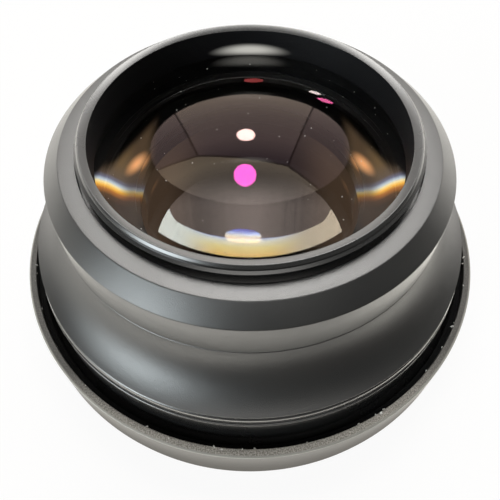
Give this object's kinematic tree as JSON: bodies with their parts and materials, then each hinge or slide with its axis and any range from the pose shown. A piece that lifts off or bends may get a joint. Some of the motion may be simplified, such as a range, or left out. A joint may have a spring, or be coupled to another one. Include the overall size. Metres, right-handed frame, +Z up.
{
  "type": "wide-angle conversion lens",
  "caption": "Wide-angle conversion lens with a flared barrel and a large front glass, standing rear thread up in its slip-on front cap.",
  "frame": {"origin": "centre of the cap's flat underside, on the table", "axes": "+Z up along the optical axis, from the front glass to the rear thread; the first set screw points to +Y"},
  "size_m": [0.09, 0.09, 0.0418],
  "materials": {
    "cap_plastic": "moulded, rough on the lip",
    "felt": "black felt",
    "black_anodised": "black anodised, satin",
    "bead_blasted": "bead blasted and black anodised",
    "inner_black": "matte black, against reflections",
    "black_steel": "blackened steel",
    "rubber": "black rubber",
    "optical_glass": "polished",
    "coated_glass": "polished, multilayer coating"
  },
  "bodies": {
    "cap": {"cap_shell": "cap_plastic", "cap_felt_lining": "felt"},
    "lens": {"front_ring": "black_anodised", "front_ring_screws": "black_steel", "bead_ring": "black_anodised", "front_retaining_ring": "inner_black", "front_element": "optical_glass", "front_gasket": "rubber", "main_barrel": "black_anodised", "middle_element": "optical_glass", "middle_retaining_ring": "inner_black", "baffle_washer": "inner_black", "rear_cell": "inner_black", "rear_cell_seal": "rubber", "rear_spacer": "inner_black", "rear_flint": "optical_glass", "rear_crown": "coated_glass", "rear_gasket": "rubber", "rear_thread_ring": "black_anodised", "rear_collar": "bead_blasted"}
  },
  "joints": [
    {"name": "lens_lift", "type": "slide", "parent": "cap", "child": "lens", "axis": [0, 0, 1], "range_m": [0, 0.04]}
  ]
}
